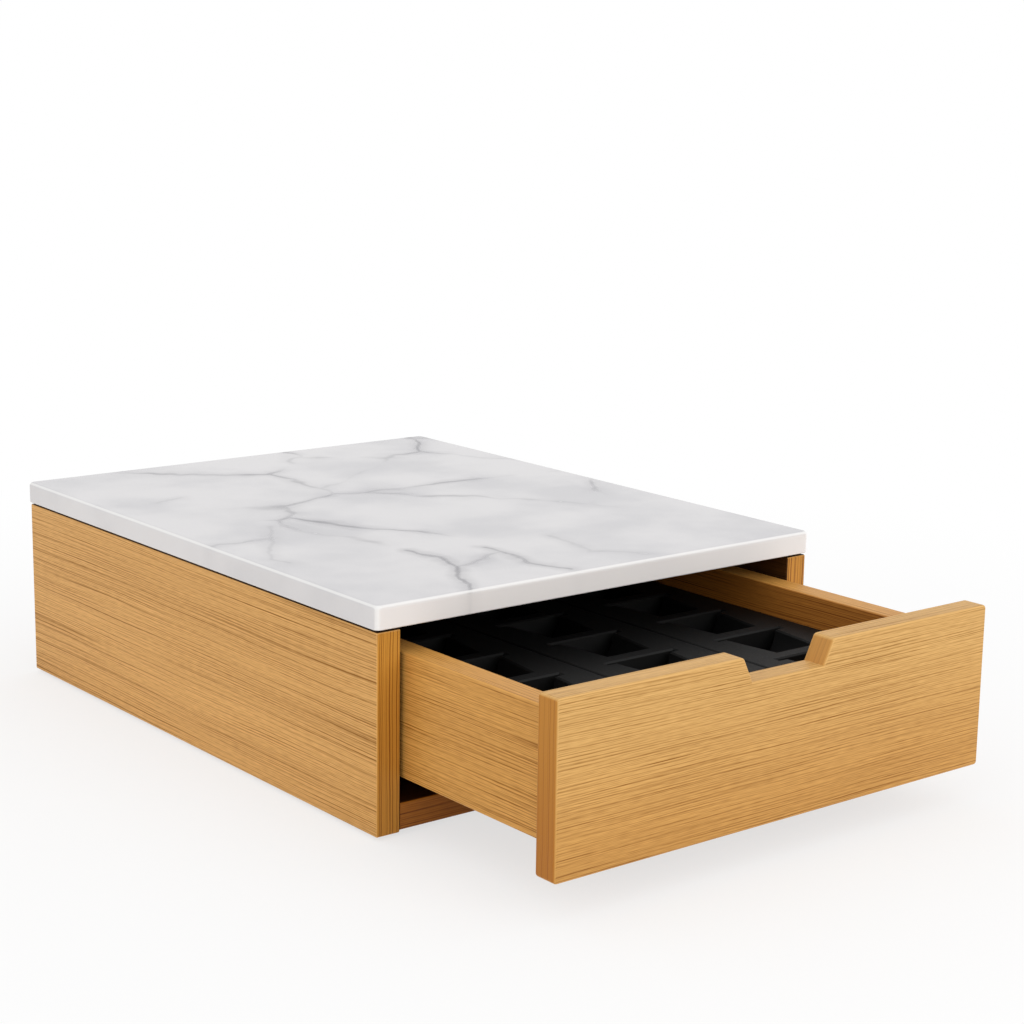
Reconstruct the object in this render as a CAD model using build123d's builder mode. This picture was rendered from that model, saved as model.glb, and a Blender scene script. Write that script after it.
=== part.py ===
# Countertop coffee capsule holder: a bamboo cabinet with a stone top and one drawer.
# The drawer carries three moulded trays, each with a row of half-round cradles.
# Frame: +X to the right, -Y to the front, +Z up, origin under the cabinet's centre on the
# surface it stands on. The drawer is drawn part open. All sizes are in millimetres.
import os

from build123d import *

os.makedirs("parts", exist_ok=True)

# Cabinet
cabinet_width = 248.0
cabinet_depth = 312.0
cabinet_height = 88.0
board = 12.0
board_round = 0.8
bottom_lift = 1.0

# Stone top on its bond strips
slab_thickness = 10.5
slab_overhang = 1.0
slab_round = 1.8
slab_corner = 3.0
slab_under_round = 0.6
bond_thickness = 1.0
bond_width = 8.0
bond_inset = 1.6

# Feet under the bottom board
foot_height = 2.5
foot_diameter = 20.0
foot_inset = 16.0
foot_bevel = 0.6

# Dowels and screws
dowel_diameter = 6.0
dowel_in_face = 8.0
dowel_in_end = 15.0
dowel_end_gap = 0.5
dowel_fit = 0.05
dowel_tip = 0.8
dowel_inset = 24.0
bottom_dowel_count = 4
back_base_dowel_spacing = 62.0
screw_diameter = 3.0
screw_length = 16.0
screw_head_diameter = 6.0
screw_head_height = 1.8
screw_fit = 0.05
screw_recess_length = 3.6
screw_recess_width = 0.8
screw_recess_depth = 1.0

# Runners under the drawer, kickers above it and the bar that stops it
runner_width = 14.0
runner_setback = 20.0
runner_screw_inset = 30.0
runner_screw_count = 3
kicker_width = 10.0
kicker_height = 9.9
kicker_setback = 50.0
kicker_screw_inset = 18.0
kicker_screw_count = 3
rail_back_gap = 2.0
rail_round = 1.0
stop_bar_length = 150.0
stop_bar_width = 10.0
stop_bar_height = 6.5
stop_screw_spacing = 60.0

# Drawer box
drawer_side_gap = 1.8
drawer_run_gap = 0.3
drawer_lift_gap = 0.4
drawer_floor_gap = 10.2
drawer_length = 290.0
drawer_board = 12.0
pull_out = 100.0
full_pull_out = 210.0
drawer_dowel_inset = 12.0
drawer_bottom_thickness = 4.0
drawer_bottom_lift = 5.0
groove_depth = 5.0
groove_fit = 0.2

# Drawer front with its finger notch
front_thickness = 12.0
front_reveal = 3.0
front_gap_below = 1.5
front_gap_above = 1.7
front_corner = 1.6
front_round = 1.2
notch_top_width = 51.0
notch_floor_width = 40.5
notch_depth = 10.8
notch_top_round = 2.0
notch_floor_round = 2.0

# Stop block behind the drawer and the bumpers on its front
stop_block_length = 80.0
stop_block_height = 7.0
stop_gap = 0.3
bumper_diameter = 6.0
bumper_thickness = 1.0
bumper_bevel = 0.3
bumper_inset = 12.0
bumper_end_gap = 2.2

# Capsule trays, from left to right
tray_names = ["left", "middle", "right"]
tray_height = 31.0
tray_wall = 1.8
tray_gap = 0.5
tray_round = 1.2
tray_mouth_bevel = 0.7
tray_mouth_angle = 45.0
cradle_pitch = 38.0
cradle_end_margin = 4.0
rim_seat_diameter = 40.0
rim_seat_width = 2.6
body_seat_diameter = 31.0
tip_seat_diameter = 23.5
body_seat_length = 28.0

# Levels and planes worked out from the sizes above
base_z = foot_height - bottom_lift
floor_z = foot_height + board
panel_top_z = base_z + cabinet_height
slab_under_z = panel_top_z + bond_thickness
cabinet_front_y = -cabinet_depth / 2
cabinet_back_y = cabinet_depth / 2
back_face_y = cabinet_back_y - board
inner_x = cabinet_width / 2 - board
drawer_outer_x = inner_x - drawer_side_gap
drawer_inner_x = drawer_outer_x - drawer_board
drawer_low_z = floor_z + drawer_floor_gap
kicker_low_z = panel_top_z - kicker_height
drawer_top_z = kicker_low_z - drawer_lift_gap
drawer_side_height = drawer_top_z - drawer_low_z
drawer_front_y = cabinet_front_y - pull_out
drawer_rear_y = drawer_front_y + drawer_length
drawer_back_face_y = drawer_rear_y - drawer_board
drawer_bottom_z = drawer_low_z + drawer_bottom_lift
tray_low_z = drawer_bottom_z + drawer_bottom_thickness
tray_top_z = tray_low_z + tray_height
front_low_z = floor_z + front_gap_below
front_top_z = slab_under_z - front_gap_above
front_width = cabinet_width - 2 * front_reveal
hands = {"left": -1, "right": 1}
low = (Align.CENTER, Align.CENTER, Align.MIN)
high = (Align.CENTER, Align.CENTER, Align.MAX)
along_x = Rotation(0, 90, 0)
along_y = Rotation(90, 0, 0)
along_z = Rotation(0, 0, 0)


def spread(first, last, count):
    """Evenly spaced positions from first to last."""
    return [first + (last - first) * i / (count - 1) for i in range(count)]


# Dowel places on the plane where the two boards of a joint meet
bottom_dowel_z = foot_height + board / 2
bottom_dowel_ys = spread(
    cabinet_front_y + dowel_inset,
    back_face_y - dowel_inset,
    bottom_dowel_count,
)
back_dowel_y = cabinet_back_y - board / 2
back_dowel_zs = [floor_z + dowel_inset, panel_top_z - dowel_inset]
panel_joints = {
    hand: [(side * inner_x, y, bottom_dowel_z) for y in bottom_dowel_ys]
    + [(side * inner_x, back_dowel_y, z) for z in back_dowel_zs]
    for hand, side in hands.items()
}
back_base_joints = [(i * back_base_dowel_spacing, back_dowel_y, floor_z) for i in (-1, 0, 1)]
drawer_joint_x = (drawer_outer_x + drawer_inner_x) / 2
drawer_back_y = (drawer_rear_y + drawer_back_face_y) / 2
drawer_dowel_zs = [
    drawer_bottom_z + drawer_dowel_inset,
    drawer_top_z - drawer_dowel_inset,
]
drawer_front_joints = {
    hand: [(side * drawer_joint_x, drawer_front_y, z) for z in drawer_dowel_zs]
    for hand, side in hands.items()
}
drawer_back_joints = {
    hand: [(side * drawer_inner_x, drawer_back_y, z) for z in drawer_dowel_zs]
    for hand, side in hands.items()
}


def bore_holes(places, depth, turn):
    """Blind dowel holes to that depth from a joint's plane, cut from the board in hand."""
    with Locations(*places):
        Cylinder(dowel_diameter / 2 + dowel_fit, 2 * depth, rotation=turn, mode=Mode.SUBTRACT)


def add_dowels(places, into_end, turn):
    """Dowels across a joint, the longer part in the board whose end grain into_end points to."""
    length = dowel_in_face + dowel_in_end - 2 * dowel_end_gap
    shift = Vector(*into_end) * (dowel_in_end - dowel_in_face) / 2
    with Locations(*[Vector(*place) + shift for place in places]):
        Cylinder(dowel_diameter / 2, length, rotation=turn)


def cut_screw_holes(places):
    """Countersunk clearance holes and pilot holes along each place's minus Z."""
    with Locations(*places):
        Cylinder(screw_diameter / 2 + screw_fit, screw_length + screw_fit, align=high, mode=Mode.SUBTRACT)
        Cone(
            screw_diameter / 2 + screw_fit,
            screw_head_diameter / 2 + screw_fit,
            screw_head_height,
            align=high,
            mode=Mode.SUBTRACT,
        )


def add_screws(places):
    """Countersunk cross-recessed screws, heads flush with each place and shanks along its minus Z."""
    with Locations(*places):
        Cylinder(screw_diameter / 2, screw_length, align=high)
        Cone(screw_diameter / 2, screw_head_diameter / 2, screw_head_height, align=high)
        for turn in (0, 90):
            Box(
                screw_recess_length,
                screw_recess_width,
                screw_recess_depth,
                rotation=(0, 0, turn),
                align=high,
                mode=Mode.SUBTRACT,
            )


# Screw places, each with its own Z out of the screw's head
runner_front_y = cabinet_front_y + runner_setback
rail_rear_y = back_face_y - rail_back_gap
runner_screw_ys = spread(
    runner_front_y + runner_screw_inset, rail_rear_y - runner_screw_inset, runner_screw_count
)
runner_top_z = drawer_low_z - drawer_run_gap
runner_x = inner_x - runner_width / 2
runner_places = {
    hand: [Location((side * runner_x, y, runner_top_z)) for y in runner_screw_ys]
    for hand, side in hands.items()
}
kicker_front_y = cabinet_front_y + kicker_setback
kicker_screw_ys = spread(
    kicker_front_y + kicker_screw_inset, rail_rear_y - kicker_screw_inset, kicker_screw_count
)
kicker_mid_z = kicker_low_z + kicker_height / 2
kicker_places = {
    hand: [
        Location((side * (inner_x - kicker_width), y, kicker_mid_z), (0, -90 * side, 0))
        for y in kicker_screw_ys
    ]
    for hand, side in hands.items()
}
stop_bar_rear_y = cabinet_front_y - full_pull_out + drawer_length - drawer_board - stop_gap
stop_bar_y = stop_bar_rear_y - stop_bar_width / 2
stop_bar_places = [
    Location((side * stop_screw_spacing / 2, stop_bar_y, floor_z + stop_bar_height))
    for side in hands.values()
]
stop_block_low_z = drawer_low_z - stop_block_height
stop_block_screw_y = (drawer_back_face_y + groove_depth + drawer_rear_y) / 2
stop_block_places = [
    Location((side * stop_screw_spacing / 2, stop_block_screw_y, stop_block_low_z), (180, 0, 0))
    for side in hands.values()
]

# Cabinet side panels, full height, with blind holes for the boards between them
for hand, side in hands.items():
    with BuildPart() as side_panel:
        with Locations((side * (inner_x + board / 2), 0, base_z)):
            Box(board, cabinet_depth, cabinet_height, align=low)
        fillet(side_panel.edges(), board_round)
        bore_holes(panel_joints[hand], dowel_in_face, along_x)
        cut_screw_holes(kicker_places[hand])
    side_panel.part.label = f"{hand}_side_panel"
    export_step(side_panel.part, f"parts/{hand}_side_panel.step")

# Bottom board, between the side panels and a little above their lower edges
with BuildPart() as bottom_panel:
    with Locations((0, 0, foot_height)):
        Box(2 * inner_x, cabinet_depth, board, align=low)
    fillet(bottom_panel.edges().filter_by(Axis.X).group_by(Axis.Y)[0], board_round)
    bore_holes(back_base_joints, dowel_in_face, along_z)
    for hand in hands:
        bore_holes(panel_joints[hand], dowel_in_end, along_x)
        cut_screw_holes(runner_places[hand])
    cut_screw_holes(stop_bar_places)
bottom_panel.part.label = "bottom_panel"
export_step(bottom_panel.part, "parts/bottom_panel.step")

# Back board, standing on the bottom board between the side panels
with BuildPart() as back_panel:
    with Locations((0, back_dowel_y, floor_z)):
        Box(2 * inner_x, board, panel_top_z - floor_z, align=low)
    fillet(back_panel.edges().filter_by(Axis.X).group_by(Axis.Z)[-1], board_round)
    bore_holes(back_base_joints, dowel_in_end, along_z)
    for hand in hands:
        bore_holes(panel_joints[hand], dowel_in_end, along_x)
back_panel.part.label = "back_panel"
export_step(back_panel.part, "parts/back_panel.step")

# Wooden dowels of the cabinet, one group for each joined edge
for hand, side in hands.items():
    with BuildPart() as panel_dowels:
        add_dowels(panel_joints[hand], (-side, 0, 0), along_x)
        chamfer(panel_dowels.edges(), dowel_tip)
    panel_dowels.part.label = f"{hand}_panel_dowels"
    export_step(panel_dowels.part, f"parts/{hand}_panel_dowels.step")

with BuildPart() as back_base_dowels:
    add_dowels(back_base_joints, (0, 0, 1), along_z)
    chamfer(back_base_dowels.edges(), dowel_tip)
back_base_dowels.part.label = "back_base_dowels"
export_step(back_base_dowels.part, "parts/back_base_dowels.step")

# Stone top with a rounded upper edge, and the dark bond strips that it lies on
with BuildPart() as stone_top:
    with BuildSketch(Plane.XY.offset(slab_under_z)):
        RectangleRounded(cabinet_width + 2 * slab_overhang, cabinet_depth + 2 * slab_overhang, slab_corner)
    extrude(amount=slab_thickness)
    fillet(stone_top.faces().sort_by(Axis.Z)[-1].edges(), slab_round)
    fillet(stone_top.faces().sort_by(Axis.Z)[0].edges(), slab_under_round)
stone_top.part.label = "stone_top"
export_step(stone_top.part, "parts/stone_top.step")

bond_x = cabinet_width / 2 - bond_inset - bond_width / 2
for hand, side in hands.items():
    with BuildPart() as side_bond:
        with Locations((side * bond_x, 0, panel_top_z)):
            Box(bond_width, cabinet_depth - 2 * bond_inset, bond_thickness, align=low)
    side_bond.part.label = f"{hand}_bond_strip"
    export_step(side_bond.part, f"parts/{hand}_bond_strip.step")

with BuildPart() as back_bond:
    with Locations((0, cabinet_back_y - bond_inset - bond_width / 2, panel_top_z)):
        Box(2 * inner_x, bond_width, bond_thickness, align=low)
back_bond.part.label = "back_bond_strip"
export_step(back_bond.part, "parts/back_bond_strip.step")

# Rubber feet under the four corners of the bottom board
foot_x = inner_x - foot_inset
foot_y = cabinet_depth / 2 - foot_inset
for end, way in {"front": -1, "rear": 1}.items():
    for hand, side in hands.items():
        with BuildPart() as foot:
            with Locations((side * foot_x, way * foot_y, 0)):
                Cylinder(foot_diameter / 2, foot_height, align=low)
            chamfer(foot.edges().sort_by(Axis.Z)[0], foot_bevel)
        foot.part.label = f"{end}_{hand}_foot"
        export_step(foot.part, f"parts/{end}_{hand}_foot.step")

# Runners that the drawer sides slide on, screwed to the bottom board
runner_length = rail_rear_y - runner_front_y
for hand, side in hands.items():
    with BuildPart() as runner:
        with Locations((side * runner_x, runner_front_y + runner_length / 2, floor_z)):
            Box(runner_width, runner_length, runner_top_z - floor_z, align=low)
        fillet(runner.edges().filter_by(Axis.X).group_by(Axis.Z)[-1], rail_round)
        cut_screw_holes(runner_places[hand])
    runner.part.label = f"{hand}_runner"
    export_step(runner.part, f"parts/{hand}_runner.step")

    with BuildPart() as runner_screws:
        add_screws(runner_places[hand])
    runner_screws.part.label = f"{hand}_runner_screws"
    export_step(runner_screws.part, f"parts/{hand}_runner_screws.step")

# Kickers that keep the open drawer from tipping, screwed to the side panels
kicker_length = rail_rear_y - kicker_front_y
kicker_x = inner_x - kicker_width / 2
for hand, side in hands.items():
    with BuildPart() as kicker:
        with Locations((side * kicker_x, kicker_front_y + kicker_length / 2, kicker_low_z)):
            Box(kicker_width, kicker_length, kicker_height, align=low)
        fillet(kicker.edges().filter_by(Axis.X).group_by(Axis.Z)[0], rail_round)
        cut_screw_holes(kicker_places[hand])
    kicker.part.label = f"{hand}_kicker"
    export_step(kicker.part, f"parts/{hand}_kicker.step")

    with BuildPart() as kicker_screws:
        add_screws(kicker_places[hand])
    kicker_screws.part.label = f"{hand}_kicker_screws"
    export_step(kicker_screws.part, f"parts/{hand}_kicker_screws.step")

# Stop bar across the bottom board, which catches the block under the drawer's back
with BuildPart() as stop_bar:
    with Locations((0, stop_bar_y, floor_z)):
        Box(stop_bar_length, stop_bar_width, stop_bar_height, align=low)
    fillet(stop_bar.edges().filter_by(Axis.X).group_by(Axis.Z)[-1], rail_round)
    cut_screw_holes(stop_bar_places)
stop_bar.part.label = "stop_bar"
export_step(stop_bar.part, "parts/stop_bar.step")

with BuildPart() as stop_bar_screws:
    add_screws(stop_bar_places)
stop_bar_screws.part.label = "stop_bar_screws"
export_step(stop_bar_screws.part, "parts/stop_bar_screws.step")

# Thin bottom of the drawer, held in grooves on all four sides
bottom_reach = groove_depth - groove_fit
bottom_length = drawer_back_face_y - drawer_front_y + 2 * bottom_reach
drawer_mid_y = (drawer_front_y + drawer_back_face_y) / 2
with BuildPart() as drawer_bottom:
    with Locations((0, drawer_mid_y, drawer_bottom_z)):
        Box(2 * (drawer_inner_x + bottom_reach), bottom_length, drawer_bottom_thickness, align=low)
drawer_bottom.part.label = "drawer_bottom"
export_step(drawer_bottom.part, "parts/drawer_bottom.step")


def cut_bottom_groove():
    """The groove that takes the edge of the drawer's bottom, cut from the board in hand."""
    with Locations((0, drawer_mid_y, drawer_bottom_z)):
        Box(
            2 * (drawer_inner_x + groove_depth),
            bottom_length + 2 * groove_fit,
            drawer_bottom_thickness + groove_fit,
            align=low,
            mode=Mode.SUBTRACT,
        )


# Drawer front, wider and taller than the box behind it, with a finger notch in its upper edge
with BuildPart() as drawer_front:
    with BuildSketch(Plane.XZ.offset(-drawer_front_y)) as front_face:
        with Locations((0, front_low_z)):
            Rectangle(front_width, front_top_z - front_low_z, align=(Align.CENTER, Align.MIN))
        fillet(front_face.vertices(), front_corner)
        with BuildLine():
            Polyline(
                (-notch_top_width / 2, front_top_z),
                (-notch_floor_width / 2, front_top_z - notch_depth),
                (notch_floor_width / 2, front_top_z - notch_depth),
                (notch_top_width / 2, front_top_z),
                close=True,
            )
        make_face(mode=Mode.SUBTRACT)
        notch_reach = notch_top_width / 2 + notch_top_round
        notch_corners = front_face.vertices().filter_by(lambda v: abs(v.X) < notch_reach)
        fillet(notch_corners.group_by(Axis.Y)[-1], notch_top_round)
        fillet(notch_corners.group_by(Axis.Y)[0], notch_floor_round)
    extrude(amount=front_thickness)
    fillet(drawer_front.faces().filter_by(Axis.Y).edges(), front_round)
    for hand in hands:
        bore_holes(drawer_front_joints[hand], dowel_in_face, along_y)
    cut_bottom_groove()
drawer_front.part.label = "drawer_front"
export_step(drawer_front.part, "parts/drawer_front.step")

# Drawer sides, with their front ends against the drawer front
for hand, side in hands.items():
    with BuildPart() as drawer_side:
        with Locations((side * drawer_joint_x, (drawer_front_y + drawer_rear_y) / 2, drawer_low_z)):
            Box(drawer_board, drawer_length, drawer_side_height, align=low)
        fillet(drawer_side.edges().filter_by(Axis.Y), board_round)
        bore_holes(drawer_front_joints[hand], dowel_in_end, along_y)
        bore_holes(drawer_back_joints[hand], dowel_in_face, along_x)
        cut_bottom_groove()
    drawer_side.part.label = f"drawer_{hand}_side"
    export_step(drawer_side.part, f"parts/drawer_{hand}_side.step")

# Drawer back, between the sides
with BuildPart() as drawer_back:
    with Locations((0, drawer_back_y, drawer_low_z)):
        Box(2 * drawer_inner_x, drawer_board, drawer_side_height, align=low)
    fillet(drawer_back.edges().filter_by(Axis.X).group_by(Axis.Z)[-1], board_round)
    for hand in hands:
        bore_holes(drawer_back_joints[hand], dowel_in_end, along_x)
    cut_bottom_groove()
    cut_screw_holes(stop_block_places)
drawer_back.part.label = "drawer_back"
export_step(drawer_back.part, "parts/drawer_back.step")

# Dowels of the drawer box
with BuildPart() as drawer_front_dowels:
    for hand in hands:
        add_dowels(drawer_front_joints[hand], (0, 1, 0), along_y)
    chamfer(drawer_front_dowels.edges(), dowel_tip)
drawer_front_dowels.part.label = "drawer_front_dowels"
export_step(drawer_front_dowels.part, "parts/drawer_front_dowels.step")

with BuildPart() as drawer_back_dowels:
    for hand, side in hands.items():
        add_dowels(drawer_back_joints[hand], (-side, 0, 0), along_x)
    chamfer(drawer_back_dowels.edges(), dowel_tip)
drawer_back_dowels.part.label = "drawer_back_dowels"
export_step(drawer_back_dowels.part, "parts/drawer_back_dowels.step")

# Stop block under the drawer's back
with BuildPart() as stop_block:
    with Locations((0, drawer_back_y, stop_block_low_z)):
        Box(stop_block_length, drawer_board, stop_block_height, align=low)
    fillet(stop_block.edges().filter_by(Axis.X).group_by(Axis.Z)[0], rail_round)
    cut_screw_holes(stop_block_places)
stop_block.part.label = "stop_block"
export_step(stop_block.part, "parts/stop_block.step")

with BuildPart() as stop_block_screws:
    add_screws(stop_block_places)
stop_block_screws.part.label = "stop_block_screws"
export_step(stop_block_screws.part, "parts/stop_block_screws.step")

# Soft bumpers behind the drawer front, which meet the side panels' edges when it closes
bumper_x = front_width / 2 - bumper_end_gap - bumper_diameter / 2
bumper_zs = [front_low_z + bumper_inset, front_top_z - bumper_inset]
with BuildPart() as front_bumpers:
    for side in hands.values():
        with Locations(*[(side * bumper_x, drawer_front_y + bumper_thickness / 2, z) for z in bumper_zs]):
            Cylinder(bumper_diameter / 2, bumper_thickness, rotation=along_y)
    chamfer(front_bumpers.edges().group_by(Axis.Y)[-1], bumper_bevel)
front_bumpers.part.label = "front_bumpers"
export_step(front_bumpers.part, "parts/front_bumpers.step")

# Capsule trays side by side on the drawer's bottom, each with a row of half-round cradles
tray_count = len(tray_names)
tray_width = (2 * drawer_inner_x - (tray_count + 1) * tray_gap) / tray_count
tray_length = drawer_back_face_y - drawer_front_y - 2 * tray_gap
cradle_length = body_seat_length + rim_seat_width
cradle_count = int((tray_length - 2 * cradle_end_margin - cradle_length) // cradle_pitch) + 1
cradle_rim_ys = [
    drawer_mid_y + cradle_length / 2 + (i - (cradle_count - 1) / 2) * cradle_pitch
    for i in range(cradle_count)
]


def seat_outline(x, rim_y, grow):
    """Corners of half a cradle's outline, right of its axis, from the wide end to the narrow one."""
    rim_front_y = rim_y - rim_seat_width
    tip_y = rim_front_y - body_seat_length
    return [
        (x + rim_seat_diameter / 2 + grow, rim_y + grow),
        (x + rim_seat_diameter / 2 + grow, rim_front_y - grow),
        (x + body_seat_diameter / 2 + grow, rim_front_y - grow),
        (x + tip_seat_diameter / 2 + grow, tip_y - grow),
    ]


def add_cradles(x, grow, mode):
    """Half-round cradles along the tray, wide ends to the back, grown by a wall for the outside."""
    for rim_y in cradle_rim_ys:
        corners = seat_outline(x, rim_y, grow)
        with BuildSketch(Plane.XY.offset(tray_top_z)) as seat:
            with BuildLine():
                Polyline((x, corners[0][1]), *corners, (x, corners[-1][1]), close=True)
            make_face()
        revolve(seat.sketch, axis=Axis((x, 0, tray_top_z), (0, 1, 0)), revolution_arc=180, mode=mode)


def bevel_mouths(x):
    """A small bevel round each cradle's opening in the tray's top."""
    for rim_y in cradle_rim_ys:
        corners = seat_outline(x, rim_y, 0)
        mirrored = [(2 * x - px, py) for px, py in reversed(corners)]
        with BuildSketch(Plane.XY.offset(tray_top_z)) as mouth:
            with BuildLine():
                Polyline(*corners, *mirrored, close=True)
            make_face()
            offset(amount=tray_mouth_bevel, kind=Kind.INTERSECTION)
        extrude(mouth.sketch, amount=-tray_mouth_bevel, taper=tray_mouth_angle, mode=Mode.SUBTRACT)


for i, tray_name in enumerate(tray_names):
    tray_x = (i - (tray_count - 1) / 2) * (tray_width + tray_gap)
    with BuildPart() as capsule_tray:
        with Locations((tray_x, drawer_mid_y, tray_low_z)):
            Box(tray_width, tray_length, tray_height, align=low)
        fillet(capsule_tray.edges().filter_by(Axis.Z), tray_round)
        fillet(capsule_tray.faces().sort_by(Axis.Z)[-1].edges(), tray_round)
        with Locations((tray_x, drawer_mid_y, tray_low_z)):
            Box(
                tray_width - 2 * tray_wall,
                tray_length - 2 * tray_wall,
                tray_height - tray_wall,
                align=low,
                mode=Mode.SUBTRACT,
            )
        add_cradles(tray_x, tray_wall, Mode.ADD)
        add_cradles(tray_x, 0, Mode.SUBTRACT)
        bevel_mouths(tray_x)
    capsule_tray.part.label = f"{tray_name}_capsule_tray"
    export_step(capsule_tray.part, f"parts/{tray_name}_capsule_tray.step")
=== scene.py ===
# %% [markdown]
# A drawer cabinet in bamboo and stone
#
# This lesson dresses a small kitchen cabinet: bamboo boards, a polished stone top, and a drawer with
# three moulded trays. The exact solids already exist, each in its own place and at its real size, so
# nothing here is moved or resized. What is left to make is how each surface looks, and the small
# fluted and threaded pieces that are quicker to grow from a rule than to draw.

# %% Load the frame
import math
from functools import reduce

import bmesh
import bpy
from mathutils import Matrix, Vector


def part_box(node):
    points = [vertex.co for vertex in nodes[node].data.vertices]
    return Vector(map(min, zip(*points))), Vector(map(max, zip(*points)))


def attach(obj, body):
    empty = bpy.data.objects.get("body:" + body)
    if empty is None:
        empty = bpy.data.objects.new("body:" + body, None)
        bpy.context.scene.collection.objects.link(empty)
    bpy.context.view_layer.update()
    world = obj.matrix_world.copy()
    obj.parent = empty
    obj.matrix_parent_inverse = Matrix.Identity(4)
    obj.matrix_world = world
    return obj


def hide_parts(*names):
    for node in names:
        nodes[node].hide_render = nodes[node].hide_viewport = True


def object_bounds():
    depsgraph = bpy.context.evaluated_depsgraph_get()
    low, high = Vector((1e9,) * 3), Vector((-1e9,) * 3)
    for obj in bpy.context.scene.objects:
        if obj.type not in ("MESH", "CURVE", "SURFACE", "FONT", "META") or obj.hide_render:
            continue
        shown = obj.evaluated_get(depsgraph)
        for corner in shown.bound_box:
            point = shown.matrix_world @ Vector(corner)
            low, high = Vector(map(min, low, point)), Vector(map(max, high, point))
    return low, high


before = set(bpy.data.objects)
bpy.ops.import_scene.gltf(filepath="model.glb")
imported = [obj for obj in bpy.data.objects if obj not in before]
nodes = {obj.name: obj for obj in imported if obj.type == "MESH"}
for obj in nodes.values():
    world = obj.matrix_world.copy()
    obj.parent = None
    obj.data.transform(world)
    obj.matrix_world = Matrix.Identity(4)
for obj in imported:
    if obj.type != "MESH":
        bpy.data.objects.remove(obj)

scene = bpy.context.scene
mm = 0.001
cad_low, cad_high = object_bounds()
middle = (cad_low + cad_high) / 2
print("pieces in the frame:", len(nodes), "box in mm:", [round(v / mm, 1) for v in cad_high - cad_low])

# %% [markdown]
# The camera
#
# A camera can be set by eye, but a picture with straight edges holds enough to work it out: the lines
# of the cabinet meet at vanishing points, and those give the lens and the direction. The long lens
# keeps the sides nearly parallel, as in most product pictures, and a small roll matches the way the
# picture leans.

# %% Camera
camera_data = bpy.data.cameras.new("camera")
camera_data.lens = 76.11
camera_data.sensor_width = 36.0
camera = bpy.data.objects.new("camera", camera_data)
scene.collection.objects.link(camera)
scene.camera = camera

sight = Vector((0.6093, 0.7653, -0.2075))
camera_roll = math.radians(0.865)
camera.location = (-0.6108, -0.8543, 0.3209)
camera.rotation_euler = (
    sight.to_track_quat("-Z", "Y").to_matrix() @ Matrix.Rotation(camera_roll, 3, "Z")
).to_euler()
print("camera stands", round((camera.location - middle).length, 3), "m from the middle")

# %% [markdown]
# Sums in node trees
#
# A procedural finish is mostly arithmetic: a mask times a strength, one minus another mask. Wiring a
# Math node by hand for each sign soon hides the idea. So one small class wraps an output socket and
# lets Python's own signs add the nodes, and one method adds every other kind of node. The same two
# classes serve materials, the backdrop and Geometry Nodes, because all three are node trees.


# %% Wires and trees
class Wire:
    """One output socket of a node tree. Signs between wires and numbers add Math nodes."""

    def __init__(self, tree, socket):
        self.tree = tree
        self.socket = socket

    def sums(self, operation, first, second=0.0):
        return self.tree.add("ShaderNodeMath", {"operation": operation}, {0: first, 1: second})

    def __add__(self, other):
        return self.sums("ADD", self, other)

    def __sub__(self, other):
        return self.sums("SUBTRACT", self, other)

    def __rsub__(self, other):
        return self.sums("SUBTRACT", other, self)

    def __mul__(self, other):
        return self.sums("MULTIPLY", self, other)

    def __truediv__(self, other):
        return self.sums("DIVIDE", self, other)

    def __rtruediv__(self, other):
        return self.sums("DIVIDE", other, self)

    def __abs__(self):
        return self.sums("ABSOLUTE", self)

    __radd__ = __add__
    __rmul__ = __mul__

    def larger(self, other):
        return self.sums("MAXIMUM", self, other)

    def smaller(self, other):
        return self.sums("MINIMUM", self, other)

    def between(self, low, high):
        """Low where the wire is 0 and high where it is 1."""
        return low + self * (high - low)

    def step(self, start, end):
        """0 before start, 1 after end and a smooth climb between them. Start may be the larger."""
        return self.tree.add(
            "ShaderNodeMapRange",
            {"interpolation_type": "SMOOTHSTEP"},
            {"Value": self, "From Min": start, "From Max": end},
        )


class Tree:
    """A node tree in the making, of any kind."""

    def __init__(self, node_tree):
        self.node_tree = node_tree

    def feed(self, node, sockets):
        for key, value in sockets.items():
            if isinstance(value, Wire):
                self.node_tree.links.new(value.socket, node.inputs[key])
            else:
                node.inputs[key].default_value = value

    def add(self, kind, settings=None, sockets=None, out=0):
        """Any node: its type, its settings, which are set first, and its sockets' values or wires."""
        node = self.node_tree.nodes.new(kind)
        for key, value in (settings or {}).items():
            setattr(node, key, value)
        self.feed(node, sockets or {})
        return Wire(self, node.outputs[out])

    def vectors(self, operation, first, second=(0, 0, 0), third=(0, 0, 0), out=0):
        sockets = {0: first, 1: second, 2: third}
        return self.add("ShaderNodeVectorMath", {"operation": operation}, sockets, out)

    def split(self, vector):
        """The X, Y and Z of a vector as three wires."""
        parts = self.add("ShaderNodeSeparateXYZ", {}, {0: vector}).socket.node
        return [Wire(self, output) for output in parts.outputs]


# %% [markdown]
# A finish
#
# Wood, stone, plastic and metal all start alike: a shader, the place on the piece, the way its face
# looks, and noise. Painted images would need every piece unwrapped, and would show seams at the edges.
# Noise in the piece's own coordinates needs neither, and its lumps can be given in real sizes. So one
# class holds what the finishes share, and each finish below is one short function.

# %% A finish
noise_middle = 0.5  # what noise is on average
flat_face, rounded_face = 0.98, 0.82  # cosines of a face's angle to the nearest axis


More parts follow.
